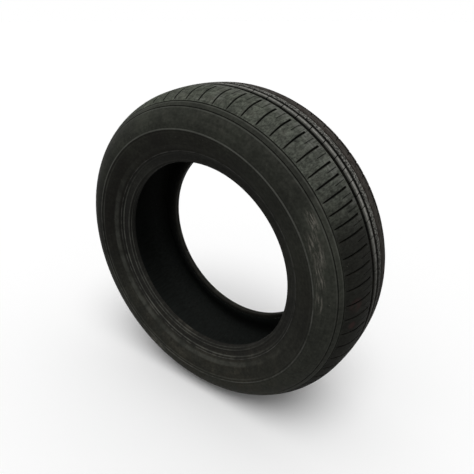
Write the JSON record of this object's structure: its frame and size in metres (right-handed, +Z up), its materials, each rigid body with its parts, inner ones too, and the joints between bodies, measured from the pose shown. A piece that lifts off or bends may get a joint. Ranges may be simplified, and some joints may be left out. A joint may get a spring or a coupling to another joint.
{
  "type": "tyre",
  "caption": "Old worn car tyre without its wheel, standing on its tread, with a slotted shoulder and grooves round the tread.",
  "frame": {"origin": "centre of the tyre on the axle line, midway between the two bead seats", "axes": "+Y along the axle line away from the slotted shoulder, +Z up from the flat spot through the centre"},
  "size_m": [0.628, 0.204, 0.6256],
  "materials": {
    "tyre": "worn matt rubber with grey dust"
  },
  "bodies": {
    "root": {"tyre": "tyre"}
  },
  "joints": []
}
